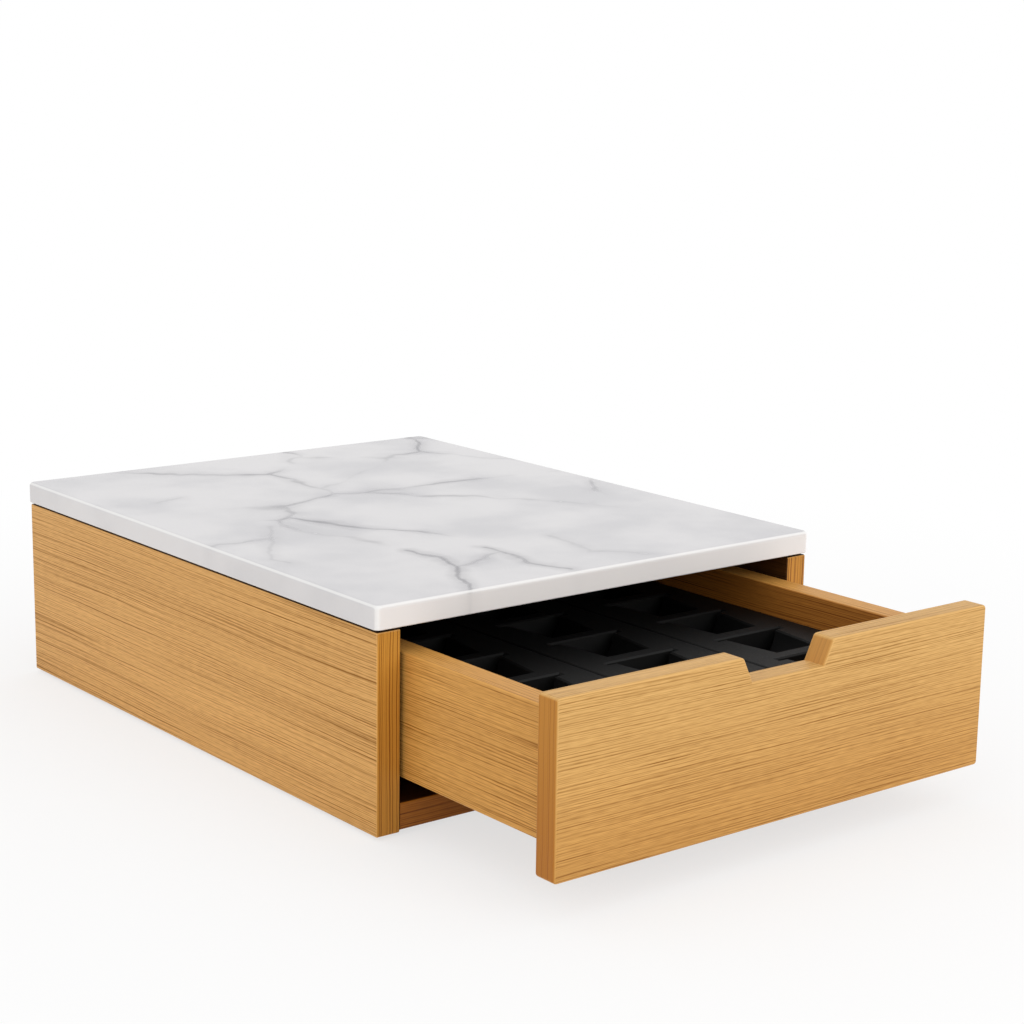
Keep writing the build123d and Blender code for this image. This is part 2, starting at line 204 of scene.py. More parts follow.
class Finish(Tree):
    """A material in the making, with its shader and the coordinates of the piece it is on."""

    def __init__(self, name, constants):
        self.material = bpy.data.materials.new(name)
        self.material.use_nodes = True
        super().__init__(self.material.node_tree)
        self.shader = self.node_tree.nodes["Principled BSDF"]
        self.place = self.add("ShaderNodeTexCoord", out="Object")
        self.facing = Wire(self, self.place.socket.node.outputs["Normal"])
        self.feed(self.shader, constants)

    def noise(self, place, sizes, shift=0.0, detail=2.0, out="Fac"):
        """Noise whose lumps have the given sizes in metres along X, Y and Z."""
        scale = [1 / size for size in sizes]
        sockets = {"Vector": place, "Location": (shift, shift, shift), "Scale": scale}
        spot = self.add("ShaderNodeMapping", {}, sockets)
        return self.add("ShaderNodeTexNoise", {}, {"Vector": spot, "Scale": 1.0, "Detail": detail}, out)

    def speckle(self, size, shift=0.0, detail=2.0):
        """Noise with lumps of one size all ways."""
        return self.noise(self.place, (size, size, size), shift, detail)

    def shake(self, amount, sizes, shift):
        """The piece's coordinates, pushed about by slow noise so that lines on them waver."""
        cloud = self.noise(self.place, sizes, shift, out="Color")
        centred = self.vectors("SUBTRACT", cloud, (noise_middle, noise_middle, noise_middle))
        return self.vectors("MULTIPLY_ADD", centred, amount, self.place)

    def mix(self, mask, first, second, blend="MIX"):
        """A colour that goes from first to second, or to their product, as the mask goes from 0 to 1."""
        settings = {"data_type": "RGBA", "clamp_factor": True, "blend_type": blend}
        factor, colour_a, colour_b, colour_out = 0, 6, 7, 2
        sockets = {factor: mask, colour_a: first, colour_b: second}
        return self.add("ShaderNodeMix", settings, sockets, colour_out)

    def rounding(self):
        """1 on rounded edges, where a face looks along none of the three axes, and 0 on flat ones."""
        straightest = reduce(Wire.larger, [abs(part) for part in self.split(self.facing)])
        return straightest.step(flat_face, rounded_face)

    def bump(self, height, distance, strength):
        """A normal that follows a height from 0 to 1, which stands for that distance in metres."""
        sockets = {"Height": height, "Distance": distance, "Strength": strength}
        return self.add("ShaderNodeBump", {}, sockets, "Normal")

    def cover(self, **surface):
        """Feeds what varies over the surface and returns the material."""
        self.feed(self.shader, {key.replace("_", " "): value for key, value in surface.items()})
        return self.material


def colour(red, green, blue):
    """A colour given as 8-bit screen values, turned into the linear light that shaders use."""

    def linear(value):
        share = value / 255
        return share / 12.92 if share <= 0.04045 else ((share + 0.055) / 1.055) ** 2.4

    return (linear(red), linear(green), linear(blue), 1.0)


def dress(finish, *names):
    """Gives a finish to pieces of the frame."""
    for name in names:
        for slot in nodes[name].material_slots:
            slot.material = finish
    print(finish.name, "is on", len(names), "pieces, with", len(finish.node_tree.nodes), "nodes")


print("half grey on a screen is", round(colour(128, 128, 128)[0], 3), "in linear light")

# %% [markdown]
# Bamboo
#
# Bamboo boards are glued up from split strips, so the fibres run straight along a board and show as
# hundreds of fine brown lines. An image would stretch or repeat, so the lines are noise that is drawn
# out along the grain, nearly a hundred times as long as it is wide. The fibres are the difference
# between two copies of one noise, set a hair apart: what both share cancels, and only fine lines are
# left. They come and go in patches, short pores break them up, and a slow change of tone lies under
# them. Dark lines, which crowd together in bands, run on much further. On a face that cuts across the
# grain the glued layers show instead, as stripes through the thickness. Edges are sanded round, and they
# are painted a little paler, a painted highlight for the light that they catch.

# %% Bamboo
# An edge here is a pair of noise values, or of cosines, between which a mask comes in.
waver, waver_width, waver_length = 2.5 * mm, 40 * mm, 160 * mm
fibre_width, fibre_gap = 0.6 * mm, 0.6  # the gap between the two copies is in fibre widths
palest_fibre, fibre_strength = -0.08, (0.65, 1.35)
patch_width, patch_edge = 5 * mm, (0.25, 0.75)
pore_width, pore_length = 0.45 * mm, 6 * mm
tone_width, tone_streaks = 13 * mm, 3
line_width, line_edge, line_strength = 0.9 * mm, (0.64, 0.74), (0.35, 1.0)
band_width, band_streaks, band_edge = 11 * mm, 2, (0.35, 0.65)
layer_height, layer_reach, layer_edge = 0.5 * mm, 300 * mm, (0.5, 0.64)
cut_edge = (0.62, 0.8)
seeds = {"patch": 7, "tone": 19, "line": 31, "layer": 37, "band": 43, "pore": 53}
plain_depth, pore_depth, tone_depth = 0.29, 0.3, 0.3
flat_height = 0.5
groove_share = 0.4  # how deep a dark line or a layer lies, next to a fibre
# How far rounded edges go towards the light colour: a painted highlight.
board_edge_highlight = 0.5


def along(grain, across_size, grain_size):
    """Sizes along X, Y and Z: one along the grain, and another along both other axes."""
    return [grain_size if axis == grain else across_size for axis in "XYZ"]


def bamboo(name, grain, thin, shift, colours, lines, painted_shades=()):
    """Bamboo board with its grain along one axis and its layers stacked along the thin one."""
    board = Finish(name, {"IOR": 1.45, "Specular IOR Level": 0.3})
    streak = lines["streak"]
    line_place = board.shake(along(grain, waver, 0.0), along(grain, waver_width, waver_length), shift)
    parts = dict(zip("XYZ", board.split(line_place)))
    length = parts.pop(grain)
    across = sum(parts.values())

    def stripes(width, reach, seed):
        """Flat noise of thin stripes along the grain. On every long face it shows the same way."""
        lumps = {0: across / width + (shift + seed), 1: length / reach}
        spot = board.add("ShaderNodeCombineXYZ", {}, lumps)
        sockets = {"Vector": spot, "Scale": 1.0, "Detail": 0.0}
        return board.add("ShaderNodeTexNoise", {"noise_dimensions": "2D"}, sockets)

    def patches(width, reach, seed, detail):
        """Soft noise in the round, also longer along the grain."""
        return board.noise(line_place, along(grain, width, reach), shift + seed, detail)

    come_and_go = patches(patch_width, streak, seeds["patch"], detail=1.0).step(*patch_edge)
    fibres = stripes(fibre_width, streak, 0.0) - stripes(fibre_width, streak, fibre_gap)
    fibres = fibres.larger(palest_fibre) * come_and_go.between(*fibre_strength)
    pores = stripes(pore_width, pore_length, seeds["pore"]) - noise_middle
    tone = patches(tone_width, tone_streaks * streak, seeds["tone"], detail=2.0) - noise_middle
    dense = patches(band_width, band_streaks * streak, seeds["band"], detail=1.0).step(*band_edge)
    dark_lines = stripes(line_width, lines["run"], seeds["line"]).step(*line_edge)
    dark_lines = dark_lines * dense.between(*line_strength)
    depth = plain_depth + fibres * lines["fine"] + pores * pore_depth + tone * tone_depth
    depth = depth + dark_lines * lines["lined"]
    long_colour = board.mix(depth, colours["light"], colours["dark"])

    stack = along(thin, layer_reach, layer_height)
    layers = board.noise(line_place, stack, shift + seeds["layer"], detail=1.0).step(*layer_edge)
    end_colour = board.mix(layers, colours["end_light"], colours["end_dark"])

    end_mask = abs(board.split(board.facing)["XYZ".index(grain)]).step(*cut_edge)
    surface = board.mix(end_mask, long_colour, end_colour)
    # A painted highlight: rounded edges are made paler, as if they caught the light.
    surface = board.mix(board.rounding() * board_edge_highlight, surface, colours["light"])
    # Painted shade: each mask darkens its faces by multiplying in a tint.
    for faces, tint in painted_shades:
        surface = board.mix(faces(board), surface, tint, "MULTIPLY")
    long_height = flat_height - fibres - dark_lines * groove_share
    height = long_height * (1 - end_mask) - layers * end_mask * groove_share
    return board.cover(
        Base_Color=surface,
        Roughness=0.48 + fibres * 0.15 + dark_lines * 0.1,
        Normal=board.bump(height, distance=0.04 * mm, strength=0.3),
    )


# %% [markdown]
# Faces for painted shade
#
# Some faces of the boards lie in shade, inside the case, under the stone or in the drawer, and their
# colour is darkened there as painted shade. Those faces could be painted by hand, or given a second
# material, but both are lost when a solid changes. A mask that asks which way a face looks, or where it
# lies, finds them by itself and fades out over a rounded edge.

# %% Faces for painted shade
turning, turned = 0.6, 0.9  # cosines between which a mask comes in
inner_start, inner_full = -40 * mm, -80 * mm  # a face's X times the X of the way it looks


def looks_up(piece):
    """1 on the faces that look up."""
    return piece.split(piece.facing)[2].step(turning, turned)


def looks_ahead(piece):
    """1 on the faces that look to the front."""
    return piece.split(piece.facing)[1].step(-turning, -turned)


def not_behind(piece):
    """1 on every face but those that look to the back."""
    return piece.split(piece.facing)[1].step(turned, turning)


def looks_inward(piece):
    """1 on the faces of a left or right board that look at the middle of the cabinet."""
    from_middle = piece.split(piece.place)[0]
    outward = piece.split(piece.facing)[0]
    return (from_middle * outward).step(inner_start, inner_full)


def lies_low(piece):
    """0 at the drawer front's upper edge and 1 at its lower edge."""
    low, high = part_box("drawer_front")
    return piece.split(piece.place)[2].step(high.z, low.z)


# %% [markdown]
# Boards
#
# The boards of the case have long lines, and those of the drawer have shorter ones, as if cut from other
# planks. One finish could serve them all, but the grain has to run along each board, and their colours
# differ a little. Noise is read at each board's own place, so no two show the same lines. The gaps
# around the drawer have to stay dark, so painted shade makes the inside faces of the case, the base's
# upper face, the edges under the stone and the rails nearly black. The rest of the base, apart from its
# back edge, gets a brown painted shade. The drawer gets a warm painted shade inside, and its front gets
# a painted shade that grows towards the lower edge.

# %% Boards
board_colours = {
    "light": colour(236, 181, 106),
    "dark": colour(144, 92, 22),
    "end_light": colour(196, 136, 50),
    "end_dark": colour(132, 76, 14),
}
drawer_colours = {
    "light": colour(229, 170, 88),
    "dark": colour(140, 84, 10),
    "end_light": colour(204, 144, 60),
    "end_dark": colour(150, 92, 26),
}
front_colours = {
    "light": colour(229, 182, 111),
    "dark": colour(138, 88, 14),
    "end_light": colour(190, 128, 46),
    "end_dark": colour(170, 108, 34),
}
# Nearly black: painted shade on the runners, kickers and stops inside the case.
shaded_rail_colours = {
    "light": colour(66, 40, 16),
    "dark": colour(26, 14, 5),
    "end_light": colour(52, 30, 12),
    "end_dark": colour(28, 15, 6),
}
long_lines = {"streak": 65 * mm, "run": 340 * mm, "fine": 0.95, "lined": 0.46}
drawer_lines = {"streak": 50 * mm, "run": 160 * mm, "fine": 1.0, "lined": 0.42}
front_lines = {"streak": 45 * mm, "run": 110 * mm, "fine": 0.88, "lined": 0.26}

# Painted shade: nearly black on the case's inside faces, the base's upper face and the edges under the
# stone.
dark_painted_shade = colour(92, 80, 70)
# Painted shade: brown on the base, whose front edge lies in the drawer's shadow.
brown_painted_shade = colour(190, 156, 92)
# Painted shade: warm and dark on the drawer's inner faces.
warm_painted_shade = colour(216, 191, 162)
# Painted shade: the drawer front grows darker towards its lower edge.
low_painted_shade = colour(238, 224, 198)
side_shades = [(looks_inward, dark_painted_shade), (looks_up, dark_painted_shade)]
back_shades = [(looks_ahead, dark_painted_shade)]
base_shades = [(not_behind, brown_painted_shade), (looks_up, dark_painted_shade)]
drawer_inner_shade = [(looks_inward, warm_painted_shade)]
cross_inner_shade = [(looks_ahead, warm_painted_shade)]
front_low_shade = [(lies_low, low_painted_shade)]

side_bamboo = bamboo("side_grain", "Y", "X", 0.0, board_colours, long_lines, side_shades)
back_bamboo = bamboo("back_grain", "X", "Y", 3.7, board_colours, long_lines, back_shades)
base_bamboo = bamboo("base_grain", "X", "Z", 5.1, board_colours, long_lines, base_shades)
drawer_bamboo = bamboo("drawer_grain", "Y", "X", 8.3, drawer_colours, drawer_lines, drawer_inner_shade)
cross_bamboo = bamboo("cross_grain", "X", "Y", 3.7, drawer_colours, drawer_lines, cross_inner_shade)
front_bamboo = bamboo("front_grain", "X", "Y", 1.3, front_colours, front_lines, front_low_shade)
long_rails = bamboo("long_rails", "Y", "Z", 6.9, shaded_rail_colours, long_lines)
cross_rails = bamboo("cross_rails", "X", "Z", 4.3, shaded_rail_colours, long_lines)

dress(side_bamboo, "left_side_panel", "right_side_panel")
dress(back_bamboo, "back_panel")
dress(cross_bamboo, "drawer_back", "drawer_bottom")
dress(drawer_bamboo, "drawer_left_side", "drawer_right_side")
dress(front_bamboo, "drawer_front")
dress(base_bamboo, "bottom_panel")
dress(long_rails, "left_runner", "right_runner", "left_kicker", "right_kicker")
dress(cross_rails, "stop_bar", "stop_block")

# %% [markdown]
# Stone
#
# The top is a slab of pale marble: a cloudy ground with thin grey veins that wander, fork and fade.
# Veins in the open can be cell borders of a Voronoi pattern, which fork by themselves, but nobody can
# say where they go. So the few veins that mark this slab are drawn from point to point as distances to
# straight lines, and a slow push on the coordinates makes them wander. The Voronoi veins fill in the
# rest. Both run down through the slab, so they carry on over its edge. The edge is honed and not
# polished, which leaves it paler and the veins on it fainter. Part of its paleness is painted light: it
# keeps the sides as bright as the top, and makes the front paler still, where the open drawer shades it.
# The rounded edges get a painted highlight.

# %% Stone
vein_push, vein_push_width, vein_push_depth = 9 * mm, 13 * mm, 200 * mm
core_width, core_strength = 1.9 * mm, 0.52
halo_width, halo_strength = 8 * mm, 0.3
ragged_size, ragged_strength = 9 * mm, (0.3, 1.2)
cell_push, cell_push_width, cell_push_depth = 26 * mm, 32 * mm, 400 * mm
cells_per_metre = 9.0
thin_border, thin_strength = 0.018, 0.48  # a border's width is in cells
wide_border, wide_strength = 0.07, 0.25
cells_from_left = (-84 * mm, -60 * mm)  # the Voronoi veins come in between these X
cells_from_front = (-76 * mm, -50 * mm)  # and between these Y
faint_size, faint_edge = 45 * mm, (0.35, 0.7)
cloud_size, cloud_edge, cloud_depth = 58 * mm, (0.38, 0.68), 0.75
sugar_size, sugar_depth = 1.4 * mm, 0.25
# Paleness of the edge: partly honed stone, partly painted light, most in front where the open drawer
# shades it.
honed_and_lit_paleness = (0.32, 0.77)  # how pale the edge is at the sides and in front
vein_on_edge = 0.2
# A painted highlight: how far rounded edges go towards near-white.
stone_edge_highlight = 0.7

stone_ground, stone_cloud = colour(215, 213, 214), colour(195, 194, 197)
stone_vein = colour(126, 125, 130)
# Edge colours: honed stone with painted light, and a near-white painted highlight for the rounded edges.
honed_and_lit_stone, highlight_stone = colour(242, 238, 235), colour(246, 245, 243)


def apart(slab, place, start, end):
    """How far a point of the slab lies from the straight line between two points, in metres."""
    start, end = [Vector((x * mm, y * mm, 0.0)) for x, y in (start, end)]
    run = end - start
    off = slab.vectors("SUBTRACT", place, start)
    share = slab.vectors("DOT_PRODUCT", off, run / run.length_squared, out="Value")
    aside = slab.vectors("MULTIPLY_ADD", share.larger(0).smaller(1), -run, off)
    return slab.vectors("LENGTH", aside, out="Value")


def drawn_vein(slab, place, ragged, strength, points):
    """A vein from point to point, with a ragged core in a wide, soft halo."""
    reach = reduce(Wire.smaller, [apart(slab, place, *ends) for ends in zip(points, points[1:])])
    core = reach.step(core_width, 0.0) * ragged.between(*ragged_strength)
    halo = reach.step(halo_width, 0.0) * halo_strength
    return (core * core_strength + halo) * strength


def marble(name, vein_lines):
    slab = Finish(name, {"IOR": 1.5, "Specular IOR Level": 0.12})
    wander_sizes = along("Z", vein_push_width, vein_push_depth)
    wander = slab.shake(along("Z", vein_push, 0.0), wander_sizes, shift=4.0)
    flat = slab.vectors("MULTIPLY", wander, (1, 1, 0))
    ragged = slab.speckle(ragged_size, shift=6.0, detail=3.0)
    drawn = reduce(Wire.larger, [drawn_vein(slab, flat, ragged, *line) for line in vein_lines])

    drift_sizes = along("Z", cell_push_width, cell_push_depth)
    drift = slab.shake(along("Z", cell_push, 0.0), drift_sizes, shift=9.0)
    sockets = {"Vector": drift, "Scale": cells_per_metre}
    border = slab.add("ShaderNodeTexVoronoi", {"feature": "DISTANCE_TO_EDGE"}, sockets, "Distance")
    thin = border.step(thin_border, 0.0) * thin_strength
    wide = border.step(wide_border, 0.0) * wide_strength
    x, y = slab.split(slab.place)[:2]
    unmarked = x.step(*cells_from_left) * y.step(*cells_from_front)
    faint = slab.speckle(faint_size, shift=12.0).step(*faint_edge)
    veins = drawn.larger((thin + wide) * unmarked * faint)

    cloud = slab.speckle(cloud_size, shift=2.0, detail=3.0).step(*cloud_edge)
    sugar = slab.speckle(sugar_size, shift=1.0)
    grey = cloud * cloud_depth + (sugar - noise_middle) * sugar_depth
    clouded = slab.mix(grey, stone_ground, stone_cloud)
    polished = abs(slab.split(slab.facing)[2])
    # The edge is paler: honed, and partly painted light, most in front.
    honed_and_lit = slab.mix((1 - polished) * looks_ahead(slab).between(*honed_and_lit_paleness), clouded, honed_and_lit_stone)
    veined = slab.mix(veins * polished.between(vein_on_edge, 1.0), honed_and_lit, stone_vein)
    return slab.cover(
        # A painted highlight on the rounded edges.
        Base_Color=slab.mix(slab.rounding() * stone_edge_highlight, veined, highlight_stone),
        Roughness=0.2 + cloud * 0.06 + veins * 0.1,
        Normal=slab.bump(sugar, distance=0.01 * mm, strength=0.2),
    )


# Each vein has a strength and the points that it passes, as X and Y in millimetres.
vein_lines = [
    (1.0, [(-55, -82), (-53, -102), (-56, -120), (-65, -133), (-78, -158)]),
    (0.6, [(-56, -120), (-45, -118), (-34, -112), (-24, -107)]),
    (0.9, [(-24, -96), (-23, -114), (-26, -130), (-18, -152)]),
    (0.35, [(17, -94), (13, -130), (30, -148)]),
    (0.5, [(-123, -25), (-102, -27), (-92, -26)]),
    (0.4, [(-80, -5), (-99, -36), (-115, -62), (-112, -73)]),
    (0.3, [(-97, 73), (-80, 77)]),
]
dress(marble("marble", vein_lines), "stone_top")

# %% [markdown]
# Moulded trays
#
# The trays are black plastic out of a mould, whose walls were lightly blasted so that the plastic comes
# out matt. That blasting could be modelled, but its pits are far too small to show, so fine noise in
# the bump and the roughness stands for it. What is put in a cradle slides down its walls and rubs them
# a little smoother the deeper it goes, so the roughness also falls with the height.

# %% Trays
tray_names = ("left_capsule_tray", "middle_capsule_tray", "right_capsule_tray")
tray_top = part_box("middle_capsule_tray")[1].z
rub_start, rub_full = tray_top - 1.5 * mm, tray_top - 14 * mm
pebble_size = 0.5 * mm
flow_width, flow_length = 25 * mm, 60 * mm


def moulded(name):
    plastic = Finish(name, {"IOR": 1.49, "Specular IOR Level": 0.25})
    pebble = plastic.speckle(pebble_size)
    flow = plastic.noise(plastic.place, along("Y", flow_width, flow_length), shift=3.0)
    rubbed = plastic.split(plastic.place)[2].step(rub_start, rub_full)
    return plastic.cover(
        Base_Color=plastic.mix(flow.step(0.35, 0.65), colour(5, 5, 5), colour(9, 9, 9)),
        Roughness=0.62 + (pebble - noise_middle) * 0.25 - rubbed * 0.16,
        Normal=plastic.bump(pebble, distance=0.03 * mm, strength=0.5),
    )


dress(moulded("black_plastic"), *tray_names)

# %% [markdown]
# Rubber, foam and felt
#
# Four rubber feet carry the cabinet, thin strips of foam tape hold the stone, and felt dots soften the
# drawer's stop. All three are dull and hardly seen, so plain colours would nearly do, but each breaks
# the light its own way: rubber is smooth with dust on it, foam is pitted by its open cells, and felt is
# a mat of crossing fibres.

# %% Rubber, foam and felt
dust_size, skin_size = 6 * mm, 0.8 * mm
foam_cell = 0.5 * mm
hair_width, hair_length = 0.12 * mm, 2.0 * mm


def rubber(name):
    pad = Finish(name, {"IOR": 1.5, "Specular IOR Level": 0.3})
    dust = pad.speckle(dust_size, shift=1.0, detail=4.0).step(0.45, 0.75)
    skin = pad.speckle(skin_size)
    return pad.cover(
        Base_Color=pad.mix(dust * 0.4, colour(24, 24, 25), colour(74, 72, 69)),
        Roughness=0.68 + dust * 0.22,
        Normal=pad.bump(skin, distance=0.02 * mm, strength=0.4),
    )


def foam(name):
    tape = Finish(name, {"IOR": 1.4, "Specular IOR Level": 0.1})
    sockets = {"Vector": tape.place, "Scale": 1 / foam_cell}
    pits = tape.add("ShaderNodeTexVoronoi", {}, sockets, "Distance").step(0.15, 0.6)
    return tape.cover(
        Base_Color=tape.mix(pits, colour(9, 8, 8), colour(26, 24, 23)),
        Roughness=0.85 + pits * 0.1,
        Normal=tape.bump(pits, distance=0.1 * mm, strength=0.6),
    )


def felt(name):
    fuzz = {"Sheen Weight": 0.35, "Sheen Roughness": 0.5}
    dot = Finish(name, {"IOR": 1.4, "Specular IOR Level": 0.05, **fuzz})
    upright = dot.noise(dot.place, along("Z", hair_width, hair_length), shift=1.0)
    level = dot.noise(dot.place, along("X", hair_width, hair_length), shift=5.0)
    mat = upright.larger(level).step(0.45, 0.75)
    return dot.cover(
        Base_Color=dot.mix(mat, colour(112, 78, 46), colour(158, 116, 72)),
        Roughness=0.95 - mat * 0.05,
        Normal=dot.bump(mat, distance=0.15 * mm, strength=0.8),
    )


dress(rubber("rubber"), "front_left_foot", "front_right_foot", "rear_left_foot", "rear_right_foot")
dress(foam("foam"), "left_bond_strip", "right_bond_strip", "back_bond_strip")
dress(felt("felt"), "front_bumpers")

# %% [markdown]
# Rods that follow a rule
#
# Dowels and screws are turned pieces: at every depth along the axis they are round, apart from the
# flutes of a dowel and the thread of a screw, which only change the radius with the angle. So both can
# start as a plain cylinder with many rings, and one rule for the radius gives the rest. Geometry Nodes
# suit this, because the rule is a few sums, the sizes are named inputs, and the finished rod is stood
# on every point of a mesh at once. Each point holds an attribute that says which way its rod looks.


# %% A maker of rods
class Maker(Tree):
    """A Geometry Nodes tree with named sizes, which stands one rod on each point it is given."""

    def __init__(self, name, sizes, finish):
        super().__init__(bpy.data.node_groups.new(name, "GeometryNodeTree"))
        self.values = {**sizes, "Finish": finish}
        sockets = self.node_tree.interface
        sockets.new_socket("Points", in_out="INPUT", socket_type="NodeSocketGeometry")
        for label, size in sizes.items():
            kind = "NodeSocketInt" if isinstance(size, int) else "NodeSocketFloat"
            sockets.new_socket(label, in_out="INPUT", socket_type=kind)
        sockets.new_socket("Finish", in_out="INPUT", socket_type="NodeSocketMaterial")
        sockets.new_socket("Rods", in_out="OUTPUT", socket_type="NodeSocketGeometry")
        entry = self.node_tree.nodes.new("NodeGroupInput")
        self.given = {output.name: Wire(self, output) for output in entry.outputs if output.name}

    def turned(self, rule):
        """A rod from the origin down, whose radius follows a rule of the depth and the angle."""
        length = self.given["Length"]
        rings = {"Vertices": self.given["Sides"], "Side Segments": self.given["Rings"]}
        rod = self.add("GeometryNodeMeshCylinder", {}, {**rings, "Radius": 1.0, "Depth": length})
        x, y, z = self.split(self.add("GeometryNodeInputPosition"))
        radius = rule(length / 2 - z, y.sums("ARCTAN2", y, x))
        spot = self.add("ShaderNodeCombineXYZ", {}, {0: x * radius, 1: y * radius, 2: z - length / 2})
        return self.add("GeometryNodeSetPosition", {}, {"Geometry": rod, "Position": spot})

    def stand(self, rod):
        """Stands the rod on every point, as real faces with the finish on them."""
        way = self.add("GeometryNodeInputNamedAttribute", {"data_type": "FLOAT_VECTOR"}, {"Name": "way"})
        turn = self.add("FunctionNodeAlignRotationToVector", {"axis": "Z"}, {"Vector": way})
        on_points = {"Points": self.given["Points"], "Instance": rod, "Rotation": turn}
        rods = self.add("GeometryNodeInstanceOnPoints", {}, on_points)
        faces = self.add("GeometryNodeRealizeInstances", {}, {"Geometry": rods})
        dressed = {"Geometry": faces, "Material": self.given["Finish"]}
        leave = self.node_tree.nodes.new("NodeGroupOutput")
        self.feed(leave, {"Rods": self.add("GeometryNodeSetMaterial", {}, dressed)})

    def grow(self, name, stands):
        """Runs the tree on points, each with its way, and returns the rods as one plain mesh object."""
        points = bpy.data.meshes.new(name)
        points.from_pydata([spot for spot, way in stands], [], [])
        ways = points.attributes.new("way", "FLOAT_VECTOR", "POINT")
        for item, (spot, way) in zip(ways.data, stands):
            item.vector = way
        piece = bpy.data.objects.new(name, points)
        scene.collection.objects.link(piece)
        modifier = piece.modifiers.new(name, "NODES")
        modifier.node_group = self.node_tree
        for item in self.node_tree.interface.items_tree:
            if item.in_out == "INPUT" and item.name in self.values:
                modifier[item.identifier] = self.values[item.name]
        graph = bpy.context.evaluated_depsgraph_get()
        rods = bpy.data.meshes.new_from_object(piece.evaluated_get(graph), depsgraph=graph)
        piece.modifiers.clear()
        piece.data = rods
        print(name, "has", len(stands), "rods and", len(rods.polygons), "faces")
        return piece


# %% [markdown]
# Where the rods stand
#
# The frame holds each set of dowels or screws as one piece with several loose solids in it. Their
# places could be written down again, but then they would have to follow every change by hand. Walking
# from corner to corner along the edges of a copy finds every solid, and its box tells the rest: the
# longest side is the axis, and the wider end is a screw's head.

# %% Where the rods stand
same_corner = 0.001 * mm
same_end = 0.05 * mm


def loose_solids(name):
    """The corners of each separate solid in a piece of the frame."""
    copy = bmesh.new()
    copy.from_mesh(nodes[name].data)
    bmesh.ops.remove_doubles(copy, verts=copy.verts, dist=same_corner)
    seen = set()
    solids = []
    for first in copy.verts:
        if first in seen:
            continue
        seen.add(first)
        waiting = [first]
        corners = []
        while waiting:
            corner = waiting.pop()
            corners.append(corner.co.copy())
            for edge in corner.link_edges:
                neighbour = edge.other_vert(corner)
                if neighbour not in seen:
                    seen.add(neighbour)
                    waiting.append(neighbour)
        solids.append(corners)
    copy.free()
    return solids


def stand_of(corners):
    """The middle of a rod's wider end, and the way that end looks."""
    low = Vector([min(corner[axis] for corner in corners) for axis in range(3)])
    high = Vector([max(corner[axis] for corner in corners) for axis in range(3)])
    size = high - low
    axis = max(range(3), key=lambda side: size[side])

    def end_width(level):
        end_middle = (low + high) / 2
        end_middle[axis] = level
        at_end = [corner for corner in corners if abs(corner[axis] - level) < same_end]
        return max((corner - end_middle).length for corner in at_end)

    top_first = end_width(high[axis]) >= end_width(low[axis])
    spot = (low + high) / 2
    spot[axis] = high[axis] if top_first else low[axis]
    way = Vector((0, 0, 0))
    way[axis] = 1.0 if top_first else -1.0
    return spot, way


def stands_in(names):
    return [stand_of(corners) for name in names for corners in loose_solids(name)]


print("the left panel's dowels stand at", len(stands_in(["left_panel_dowels"])), "places")

# %% [markdown]
# Dowels
#
# Beech dowels hold the boards edge to face. Factory dowels have fine flutes all round, so that glue and
# air can get past, and bevelled ends that find the hole. The flutes could be cut one by one, but the
# rule for the radius makes them all at once: it is a cosine of the angle, and falls off near both ends.

# %% Dowels
bevel_slope = 0.6  # how fast the radius falls off at an end
fleck_size, beech_tone_size = 0.7 * mm, 9 * mm


def beech(name):
    rod = Finish(name, {"IOR": 1.45, "Specular IOR Level": 0.25})
    flecks = rod.speckle(fleck_size, shift=2.0, detail=3.0).step(0.5, 0.75)
    tone = rod.speckle(beech_tone_size, shift=4.0)
    brown = flecks * 0.5 + (tone - noise_middle) * 0.6
    return rod.cover(
        Base_Color=rod.mix(brown, colour(214, 172, 124), colour(164, 116, 72)),
        Roughness=0.6 + flecks * 0.15,
        Normal=rod.bump(flecks, distance=0.03 * mm, strength=0.4),
    )


dowel_low, dowel_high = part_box("back_base_dowels")
dowel_sizes = {
    "Length": dowel_high.z - dowel_low.z,
    "Diameter": dowel_high.y - dowel_low.y,
    "Bevel": 0.8 * mm,
    "Flute Depth": 0.22 * mm,
    "Flutes": 18,
    "Sides": 72,
    "Rings": 28,
}
dowels = Maker("fluted_dowel", dowel_sizes, beech("beech"))


def dowel_radius(depth, angle):
    length, bevel = dowels.given["Length"], dowels.given["Bevel"]
    flute = dowels.given["Flutes"] * angle
    ripple = (1 - flute.sums("COSINE", flute)) / 2
    end = (depth.smaller(length - depth) / bevel).smaller(1.0)
    fluted = dowels.given["Diameter"] / 2 - ripple * dowels.given["Flute Depth"]
    return fluted - (1 - end) * bevel * bevel_slope


dowels.stand(dowels.turned(dowel_radius))
dowel_nodes = {
    "cabinet": ["left_panel_dowels", "right_panel_dowels", "back_base_dowels"],
    "drawer": ["drawer_front_dowels", "drawer_back_dowels"],
}
for body, names in dowel_nodes.items():
    piece = dowels.grow(f"{body}_dowels", stands_in(names))
    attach(piece, body)
    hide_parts(*names)

# %% [markdown]
# Screws
#
# Zinc-plated screws with a countersunk head hold the runners, the kickers and the stops. A thread could
# be a swept helix, but the rule for the radius gives it on the same cylinder. The rule has three parts:
# a cone for the head, a point at the far end, and between them a ridge that climbs by one pitch for
# each turn, which is the thread. Two crossed bars are cut out of the head for the driver.

# %% Screws
ridge_slope = 1.5  # how fast the thread falls off on both sides
blunt_share = 0.05  # how much of the radius is left at the point
haze_size, scratch_size = 1.2 * mm, 0.25 * mm


